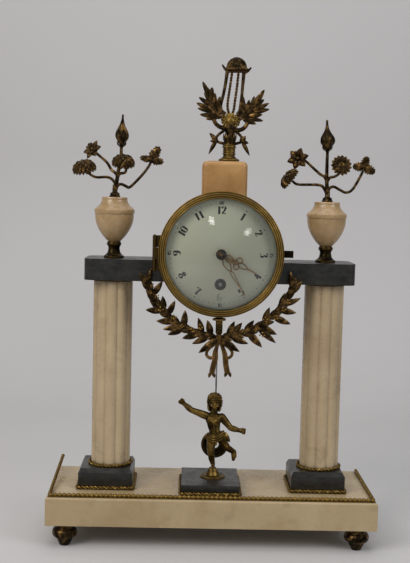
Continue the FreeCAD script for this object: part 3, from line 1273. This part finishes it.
def screw_y(x, z, shank, head, head_y, tip_y):
    """Slotted cheese-head screw along Y; the head stands on the far side of head_y from the tip."""
    away = -1 if tip_y > head_y else 1
    low, high = sorted((head_y, head_y + away * head * 0.7))
    slot_y = head_y + away * head * 0.7
    body = fused([disc_y(x, z, head, low, high), disc_y(x, z, shank, min(head_y, tip_y), max(head_y, tip_y))])
    cut = block(x - head - 1, x + head + 1, slot_y - head * 0.25, slot_y + head * 0.25, z - head * 0.15,
                z + head * 0.15)
    return body.cut(cut)


def movement_screws():
    """Screws that hold the movement in the drum, the back plate on its pillars and the cock."""
    pieces = []
    for x, z in plate_screws_at():
        pieces.append(screw_y(x, z, 1.2, 2.2, PLATE_FRONT_Y, PLATE_FRONT_IN + SHELF_T + 0.5))
    for x, z in PILLARS_AT:
        pieces.append(screw_y(x, z, 1.1, 2.4, PLATE_BACK_OUT, PLATE_BACK_Y - 5))
    for x, z in cock_screws_at():
        pieces.append(screw_y(x, z, 1.1, 1.9, PLATE_BACK_OUT + 1.8, PLATE_BACK_Y + 0.1))
    return group(pieces)


def cock_screws_at():
    """Places of the two screws of the suspension cock."""
    return [(-6.5, SUSPENSION_Z + 5.5), (6.5, SUSPENSION_Z + 5.5)]


def suspension_cock():
    """Brass cock on the back plate that carries the suspension spring above the anchor's arbor."""
    y0 = PLATE_BACK_OUT
    z = SUSPENSION_Z + 3.0
    foot_plate = block(-9.4, 9.4, y0, y0 + 1.8, z, z + 5.4)
    arm = block(-2.6, 2.6, y0, PENDULUM_Y + 3.0, z, z + 4.2)
    cuts = [block(-0.75, 0.75, PENDULUM_Y - 2.4, PENDULUM_Y + 4, z - 1, z + 6)]
    for x, hz in cock_screws_at():
        cuts.append(disc_y(x, hz, 1.1 + SEAT, y0 - 1, y0 + 3))
    return fused([foot_plate, arm]).cut(fused_apart(cuts))


# Movement, turning parts

def arbor(at, y0, y1, pivot_front, pivot_back, radius=ARBOR_R):
    """Arbor with a slimmer pivot at each end."""
    x, z = at
    return fused([disc_y(x, z, radius, y0, y1), disc_y(x, z, PIVOT_R, pivot_front, y0 + 0.5),
                  disc_y(x, z, PIVOT_R, y1 - 0.5, pivot_back)])


IN0 = PLATE_FRONT_IN + 0.3
IN1 = PLATE_BACK_Y - 0.3
PIVOT0 = PLATE_FRONT_Y + 0.2
PIVOT1 = PLATE_BACK_OUT - 0.2
CENTRE_WHEEL_Y = PLATE_FRONT_IN + 0.8
GREAT_Y = PLATE_FRONT_IN + 14.0
SECOND_WHEEL_Y = PLATE_BACK_Y - 5.5
THIRD_WHEEL_Y = PLATE_FRONT_IN + 7.0
ESCAPE_WHEEL_Y = PLATE_FRONT_IN + 12.0
WHEEL_T = 0.9
CANNON_Y = PLATE_FRONT_Y - 3.4
HOUR_WHEEL_Y = PLATE_FRONT_Y - 6.2
HOUR_HAND_Y = DIAL_Y - 2.4
MINUTE_HAND_Y = HOUR_HAND_Y - 1.3
HAND_T = 0.6
CANNON_R = 1.9
HOUR_PIPE_R = 2.7


def centre_wheel():
    """Centre arbor with its pinion and wheel, and the cannon pinion that turns the hands."""
    x, z = CENTRE_AT
    front_end = MINUTE_HAND_Y - 2.2
    shaft = fused([disc_y(x, z, 0.95, front_end, PLATE_FRONT_Y + 0.2),
                   disc_y(x, z, ARBOR_R, PLATE_FRONT_Y - 0.3, PIVOT1)])
    pinion = gear(CENTRE_PINION, SECOND_MODULE, x, z, direction(CENTRE_AT, SECOND_AT),
                  SECOND_WHEEL_Y - 1.0, IN1 - 0.2, True)
    y = CENTRE_WHEEL_Y
    wheel = gear(CENTRE_TEETH, CENTRE_MODULE, x, z, direction(CENTRE_AT, THIRD_AT), y, y + WHEEL_T)
    wheel = spoked(wheel, x, z, CENTRE_MODULE * CENTRE_TEETH / 2 - 2.2, 3.0, y, y + WHEEL_T)
    collet = disc_y(x, z, 3.0, y, y + 2.4)
    turning = fused([shaft, pinion, wheel, collet])
    cannon = gear(CANNON_TEETH, CANNON_MODULE, x, z, direction(CENTRE_AT, MINUTE_AT), CANNON_Y,
                  CANNON_Y + 2.4)
    pipe = disc_y(x, z, CANNON_R, MINUTE_HAND_Y + 0.1, CANNON_Y + 1)
    end = disc_y(x, z, CANNON_R - 0.4, MINUTE_HAND_Y - HAND_T, MINUTE_HAND_Y + 0.2)
    cannon = fused([cannon, pipe, end]).cut(disc_y(x, z, 0.95 + RUN, front_end - 1, PLATE_FRONT_Y))
    return group([turning, cannon])


def hour_wheel():
    """Hour wheel on a pipe round the cannon pinion."""
    x, z = CENTRE_AT
    y = HOUR_WHEEL_Y
    wheel = gear(HOUR_TEETH, HOUR_MODULE, x, z, direction(CENTRE_AT, MINUTE_AT), y, y + WHEEL_T)
    pipe = disc_y(x, z, HOUR_PIPE_R, HOUR_HAND_Y + 0.1, y + WHEEL_T)
    end = disc_y(x, z, HOUR_PIPE_R - 0.35, HOUR_HAND_Y - HAND_T + 0.05, HOUR_HAND_Y + 0.2)
    body = fused([wheel, pipe, end])
    return body.cut(disc_y(x, z, CANNON_R + RUN, HOUR_HAND_Y - 4, y + 4))


def minute_wheel():
    """Motion wheel and pinion on their stud."""
    x, z = MINUTE_AT
    aim = direction(MINUTE_AT, CENTRE_AT)
    wheel = gear(MINUTE_TEETH, CANNON_MODULE, x, z, aim, CANNON_Y + 0.7, CANNON_Y + 0.7 + WHEEL_T, True)
    pinion = gear(MINUTE_PINION, HOUR_MODULE, x, z, aim, HOUR_WHEEL_Y - 0.8, CANNON_Y + 1.0, True)
    body = fused([wheel, pinion])
    return body.cut(disc_y(x, z, 0.8 + RUN, HOUR_WHEEL_Y - 3, CANNON_Y + 4))


def second_wheel():
    """Second arbor between the barrel and the centre."""
    x, z = SECOND_AT
    y = SECOND_WHEEL_Y
    pinion = gear(SECOND_PINION, GREAT_MODULE, x, z, direction(SECOND_AT, BARREL_AT), GREAT_Y - 0.8,
                  GREAT_Y + 2.2, True)
    wheel = gear(SECOND_TEETH, SECOND_MODULE, x, z, direction(SECOND_AT, CENTRE_AT), y, y + WHEEL_T)
    wheel = spoked(wheel, x, z, SECOND_MODULE * SECOND_TEETH / 2 - 2.4, 3.0, y, y + WHEEL_T)
    return fused([arbor(SECOND_AT, IN0, IN1, PIVOT0, PIVOT1), pinion, wheel])


def going_barrel():
    """Spring barrel with the great wheel on its back edge, and its snapped-in cap."""
    x, z = BARREL_AT
    y0 = GREAT_Y - BARREL_T
    wheel = gear(GREAT_TEETH, GREAT_MODULE, x, z, direction(BARREL_AT, SECOND_AT), GREAT_Y, GREAT_Y + 1.4)
    drum = disc_y(x, z, BARREL_R, y0, GREAT_Y + 0.2)
    body = fused([wheel, drum]).cut(disc_y(x, z, BARREL_R - 1.0, y0 - 1, GREAT_Y))
    body = body.cut(disc_y(x, z, 2.6 + RUN, GREAT_Y - 1, GREAT_Y + 3))
    cap = disc_y(x, z, BARREL_R - 1.0 - 0.02, y0, y0 + 1.0).cut(disc_y(x, z, 2.6 + RUN, y0 - 1, y0 + 2))
    return group([body, cap])


def mainspring():
    """Coiled steel mainspring inside the barrel."""
    x, z = BARREL_AT
    y0 = GREAT_Y - BARREL_T + 1.4
    y1 = GREAT_Y - 0.4
    turns = 9
    inner = 5.0
    outer = BARREL_R - 1.9
    thick = 0.35
    steps = turns * 20
    out_side = []
    in_side = []
    for k in range(steps + 1):
        angle = 2 * math.pi * turns * k / steps
        radius = inner + (outer - inner) * k / steps
        out_side.append((x + (radius + thick) * math.cos(angle), z + (radius + thick) * math.sin(angle)))
        in_side.append((x + radius * math.cos(angle), z + radius * math.sin(angle)))
    return plate_xz(out_side + in_side[::-1], y0, y1)


def winding_arbor():
    """Barrel arbor with its winding square, and the ratchet wheel in front of the plate."""
    x, z = BARREL_AT
    body = fused([disc_y(x, z, 2.6, PLATE_FRONT_Y - 2.6, PIVOT1),
                  disc_y(x, z, 4.4, GREAT_Y - BARREL_T + 1.6, GREAT_Y - 0.6)])
    half = 1.6
    square = block(x - half, x + half, DIAL_Y + 0.4, PLATE_FRONT_Y - 2, z - half, z + half)
    outline = []
    for k in range(RATCHET_TEETH):
        a0 = 2 * math.pi * k / RATCHET_TEETH
        a1 = 2 * math.pi * (k + 0.12) / RATCHET_TEETH
        outline.append((x + RATCHET_R * math.cos(a0), z + RATCHET_R * math.sin(a0)))
        outline.append((x + (RATCHET_R - 1.1) * math.cos(a1), z + (RATCHET_R - 1.1) * math.sin(a1)))
    y = PLATE_FRONT_Y - 2.2
    ratchet = plate_xz(outline, y, y + 1.8)
    return fused([body, square, ratchet])


def click():
    """Pawl that keeps the ratchet from running back, on its post on the front plate."""
    x, z = CLICK_AT
    y = PLATE_FRONT_Y - 2.1
    aim = direction(CLICK_AT, BARREL_AT)
    tip = polar(BARREL_AT, RATCHET_R + 0.35, 178)
    away = direction(CLICK_AT, tip)
    base_left = polar(CLICK_AT, 2.3, away + 90)
    base_right = polar(CLICK_AT, 2.3, away - 90)
    pawl = plate_xz([base_left, base_right, tip], y, y + 1.6)
    tail_end = polar(CLICK_AT, 6.0, aim + 180)
    tail = plate_xz([polar(CLICK_AT, 1.4, aim + 90), tail_end, polar(CLICK_AT, 1.4, aim - 90)], y, y + 1.6)
    body = fused([disc_y(x, z, 2.4, y, y + 1.6), pawl, tail])
    return body.cut(disc_y(x, z, 1.2 + RUN, y - 1, y + 3))


def third_wheel():
    """Third arbor between the centre and the escape wheel."""
    x, z = THIRD_AT
    y = THIRD_WHEEL_Y
    pinion = gear(THIRD_PINION, CENTRE_MODULE, x, z, direction(THIRD_AT, CENTRE_AT), CENTRE_WHEEL_Y - 0.4,
                  CENTRE_WHEEL_Y + 2.4, True)
    wheel = gear(THIRD_TEETH, THIRD_MODULE, x, z, direction(THIRD_AT, ESCAPE_AT), y, y + WHEEL_T)
    wheel = spoked(wheel, x, z, THIRD_MODULE * THIRD_TEETH / 2 - 2.0, 2.6, y, y + WHEEL_T)
    return fused([arbor(THIRD_AT, IN0, IN1, PIVOT0, PIVOT1, 0.7), pinion, wheel])


def escape_wheel():
    """Escape wheel with pointed teeth, and its pinion."""
    x, z = ESCAPE_AT
    y = ESCAPE_WHEEL_Y
    outline = []
    for k in range(ESCAPE_TEETH):
        a0 = 2 * math.pi * k / ESCAPE_TEETH
        a1 = 2 * math.pi * (k + 0.10) / ESCAPE_TEETH
        a2 = 2 * math.pi * (k + 0.55) / ESCAPE_TEETH
        root = ESCAPE_R * 0.82
        outline.append((x + ESCAPE_R * math.cos(a0), z + ESCAPE_R * math.sin(a0)))
        outline.append((x + root * math.cos(a1), z + root * math.sin(a1)))
        outline.append((x + root * math.cos(a2), z + root * math.sin(a2)))
    wheel = spoked(plate_xz(outline, y, y + 0.8), x, z, ESCAPE_R * 0.66, 2.0, y, y + 0.8)
    pinion = gear(ESCAPE_PINION, THIRD_MODULE, x, z, direction(ESCAPE_AT, THIRD_AT), THIRD_WHEEL_Y - 1.0,
                  THIRD_WHEEL_Y + 2.2, True)
    return fused([arbor(ESCAPE_AT, IN0, IN1, PIVOT0, PIVOT1, 0.7), wheel, pinion])


def anchor():
    """Anchor on its arbor; its pallets stop just clear of the escape wheel's tips."""
    x, z = ANCHOR_AT
    y = ESCAPE_WHEEL_Y - 0.3
    drop = z - ESCAPE_AT[1]
    clear = ESCAPE_R + GAP
    pallet_x = ESCAPE_R * 0.92
    tip_z = z - drop + math.sqrt(max(clear ** 2 - pallet_x ** 2, 0.0)) + 0.9
    side = [(x, z + 2.2), (x + 4.5, z + 1.4), (x + pallet_x + 1.3, tip_z + 5.5), (x + pallet_x + 1.3, tip_z),
            (x + pallet_x, tip_z), (x + pallet_x - 0.9, tip_z + 4.2), (x + 3.4, z - 1.8), (x, z - 2.0)]
    arms = [plate_xz(side, y, y + 1.4), plate_xz([(2 * x - a, b) for a, b in side], y, y + 1.4)]
    shaft = fused([disc_y(x, z, 0.95, IN0, PLATE_BACK_Y), disc_y(x, z, PIVOT_R, PIVOT0, IN0 + 0.5),
                   disc_y(x, z, ARBOR_R, IN0 + 3, PLATE_BACK_OUT + 4.0)])
    return fused(arms + [shaft])


def crutch():
    """Wire crutch on the anchor's arbor, with the loop that drives the pendulum's rod."""
    x, z = ANCHOR_AT
    y0 = PLATE_BACK_OUT + 1.6
    hub = disc_y(x, z, 2.2, y0, y0 + 1.8)
    low = z - 38.0
    wire = block(x - 0.6, x + 0.6, y0 + 0.3, y0 + 1.5, low, z - 1.6)
    reach = block(x - 2.2, x + 2.2, y0 + 0.3, PENDULUM_Y + 2.6, low - 1.2, low)
    loop = block(x - PENDULUM_ROD_R - 0.15, x + PENDULUM_ROD_R + 0.15, PENDULUM_Y - 1.8, PENDULUM_Y + 1.8,
                 low - 3, low + 2)
    return fused([hub, wire, reach]).cut(loop).cut(disc_y(x, z, ARBOR_R + 0.02, y0 - 1, y0 + 3))


def suspension_spring():
    """Thin blade with brass chops and the cross pin that rests on the cock."""
    z = SUSPENSION_Z
    y = PENDULUM_Y
    blade = block(-0.12, 0.12, y - 1.6, y + 1.6, z - 8.0, z + 8.0)
    pin = Part.makeCylinder(0.6, 4.4, V(-2.2, y, z + 8.4), V(1, 0, 0))
    upper = block(-0.3, 0.3, y - 1.9, y + 1.9, z + 7.7, z + 9.6)
    lower = block(-1.2, 1.2, y - 2.2, y + 2.2, z - 11.0, z - 6.0)
    return fused([blade, pin, upper, lower])


def pendulum_rod():
    """Steel rod from the suspension's lower chops to the thread under the bob's window."""
    top = SUSPENSION_Z - 11.0
    low = BOB_Z - NUT_H
    rod = disc_z(0, PENDULUM_Y, PENDULUM_ROD_R, low, top)
    hook = block(-1.1, 1.1, PENDULUM_Y - 1.1, PENDULUM_Y + 1.1, top - 5.0, top)
    return fused([rod, hook])


def bob_seat_z():
    """Height of the face in the bob's window that rests on the nut."""
    return BOB_Z + BOB_WINDOW_R / 2


def pendulum_bob():
    """Dished brass ring, bored upwards for the rod."""
    y = PENDULUM_Y
    t = BOB_T / 2
    profile = [(BOB_WINDOW_R, y - t * 0.5), (BOB_WINDOW_R + 2.2, y - t * 0.35), (BOB_R - 3.2, y - t * 0.75),
               (BOB_R - 1.6, y - t), (BOB_R, y - t * 0.4), (BOB_R, y + t * 0.4), (BOB_R - 1.6, y + t),
               (BOB_R - 3.2, y + t * 0.75), (BOB_WINDOW_R + 2.2, y + t * 0.6), (BOB_WINDOW_R, y + t * 0.6)]
    body = lathe_y(profile, 0, BOB_Z)
    boss = block(-1.9, 1.9, y - 1.6, y + 1.6, bob_seat_z(), BOB_Z + BOB_R + 2.2)
    bore = disc_z(0, y, PENDULUM_ROD_R + RUN, BOB_Z + 1, BOB_Z + BOB_R + 5)
    return fused([body, boss]).cut(bore)


def rating_nut():
    """Knurled nut in the bob's window, which raises and lowers the bob."""
    top = bob_seat_z() - GAP
    teeth = 16
    outline = []
    for k in range(teeth * 2):
        r = NUT_R if k % 2 == 0 else NUT_R * 0.9
        angle = math.pi * k / teeth
        outline.append(V(r * math.cos(angle), PENDULUM_Y + r * math.sin(angle), top - NUT_H))
    body = Part.Face(Part.makePolygon(outline + outline[:1])).extrude(V(0, 0, NUT_H))
    return body.cut(disc_z(0, PENDULUM_Y, PENDULUM_ROD_R + RUN, top - 5, top + 1))


# Hands

def hand(length, degrees, y0, eye_r, bore, loops):
    """Pierced hand that points degrees clockwise from twelve; loops are (distance, half width)."""
    outline = [(eye_r * math.cos(math.radians(a)), eye_r * math.sin(math.radians(a)))
               for a in range(60, -241, -20)]
    body = plate_xz(outline, y0 - HAND_T, y0)
    pieces = [body]
    windows = []
    for start, end, half in loops:
        middle = (start + end) / 2
        ring = [(0, start), (half, middle - 0.15 * (end - start)), (half * 0.8, middle + 0.2 * (end - start)),
                (0, end)]
        outer = ring + [(-a, b) for a, b in reversed(ring[1:-1])]
        pieces.append(plate_xz(outer, y0 - HAND_T, y0))
        inner = [(a * 0.52, middle + (b - middle) * 0.62) for a, b in outer]
        windows.append(plate_xz(inner, y0 - HAND_T - 1, y0 + 1))
    spine = [(-0.8, 0), (0.8, 0), (0.7, length * 0.72), (0.15, length), (-0.15, length), (-0.7, length * 0.72)]
    last = loops[-1][1]
    spine = [(a, max(b, last - 1.5) if b == 0 else b) for a, b in spine]
    pieces.append(plate_xz(spine, y0 - HAND_T, y0))
    body = fused(pieces).cut(fused_apart(windows)) if len(windows) > 1 else fused(pieces).cut(windows[0])
    body = body.cut(disc_y(0, 0, bore, y0 - 5, y0 + 5))
    body.rotate(V(0, 0, 0), V(0, 1, 0), degrees)
    body.translate(V(0, 0, DIAL_Z))
    return body


def minute_hand():
    """Long hand with one pierced loop."""
    return hand(MINUTE_HAND_L, MINUTE_HAND_DEG, MINUTE_HAND_Y, 4.2, CANNON_R - 0.4 + 0.02,
                [(3.4, 20.0, 2.5), (19.0, 27.0, 1.9)])


def hour_hand():
    """Short hand with pierced loops."""
    return hand(HOUR_HAND_L, HOUR_HAND_DEG, HOUR_HAND_Y, 4.6, HOUR_PIPE_R - 0.35 + 0.02,
                [(3.8, 13.0, 2.8), (12.0, 22.0, 4.6), (21.0, 26.0, 2.2)])


def hand_nut():
    """Domed nut that holds the minute hand."""
    y = MINUTE_HAND_Y - HAND_T - 0.02
    body = lathe_y([(0, y), (3.6, y), (3.4, y - 0.9), (2.4, y - 2.0), (0, y - 2.6)])
    return body.cut(disc_y(0, DIAL_Z, 0.95 + 0.02, MINUTE_HAND_Y - 2.25, y + 1))


BASE_PARTS = [
    ("base_slab", base_slab),
    ("feet", feet),
    ("front_bead_rail", front_bead_rail),
    ("side_rails", side_rails),
    ("rope_mouldings", rope_mouldings),
    ("centre_plinth", centre_plinth),
    ("figure", figure),
    ("figure_base", figure_base),
    ("column_plinth_left", lambda: column_plinth(-1)),
    ("column_plinth_right", lambda: column_plinth(1)),
]

UPPER_PARTS = [
    ("column_left", lambda: column(-COLUMN_X)),
    ("column_right", lambda: column(COLUMN_X)),
    ("column_cap_plates", column_cap_plates),
    ("tie_rods", tie_rods),
    ("lintel_left", lambda: mirrored(lintel())),
    ("lintel_right", lintel),
    ("urn_feet", urn_feet),
    ("urn_left", lambda: urn(-COLUMN_X)),
    ("urn_right", lambda: urn(COLUMN_X)),
    ("bouquet_left", bouquet_left),
    ("bouquet_right", bouquet_right),
    ("drum_case", drum_case),
    ("drum_brackets", drum_brackets),
    ("top_block", top_block),
    ("lyre_foot", lyre_foot),
    ("lyre_frame", lyre_frame),
    ("lyre_strings", lyre_strings),
    ("festoon_garland", festoon_garland),
    ("festoon_bracket", festoon_bracket),
    ("festoon_bow", festoon_bow),
    ("bezel_ring", bezel_ring),
    ("bezel_glass", bezel_glass),
    ("case_hinges", case_hinges),
    ("rear_cover", rear_cover),
    ("dial", dial),
    ("front_plate", front_plate),
    ("back_plate", back_plate),
    ("plate_pillars", plate_pillars),
    ("movement_screws", movement_screws),
    ("suspension_cock", suspension_cock),
    ("centre_wheel", centre_wheel),
    ("hour_wheel", hour_wheel),
    ("minute_wheel", minute_wheel),
    ("second_wheel", second_wheel),
    ("going_barrel", going_barrel),
    ("mainspring", mainspring),
    ("winding_arbor", winding_arbor),
    ("click", click),
    ("third_wheel", third_wheel),
    ("escape_wheel", escape_wheel),
    ("anchor", anchor),
    ("crutch", crutch),
    ("suspension_spring", suspension_spring),
    ("pendulum_rod", pendulum_rod),
    ("pendulum_bob", pendulum_bob),
    ("rating_nut", rating_nut),
    ("minute_hand", minute_hand),
    ("hour_hand", hour_hand),
    ("hand_nut", hand_nut),
]

os.makedirs("parts", exist_ok=True)
for offset, parts in ((0.0, BASE_PARTS), (UPPER_X, UPPER_PARTS)):
    for name, build in parts:
        shape = build()
        shape.translate(V(offset, 0, 0))
        shape.exportStep("parts/" + name + ".step")
        bad = "" if shape.isValid() else " NOT VALID"
        print("%-22s solids %2d  volume %9.1f mm3%s" % (name, len(shape.Solids), shape.Volume, bad))
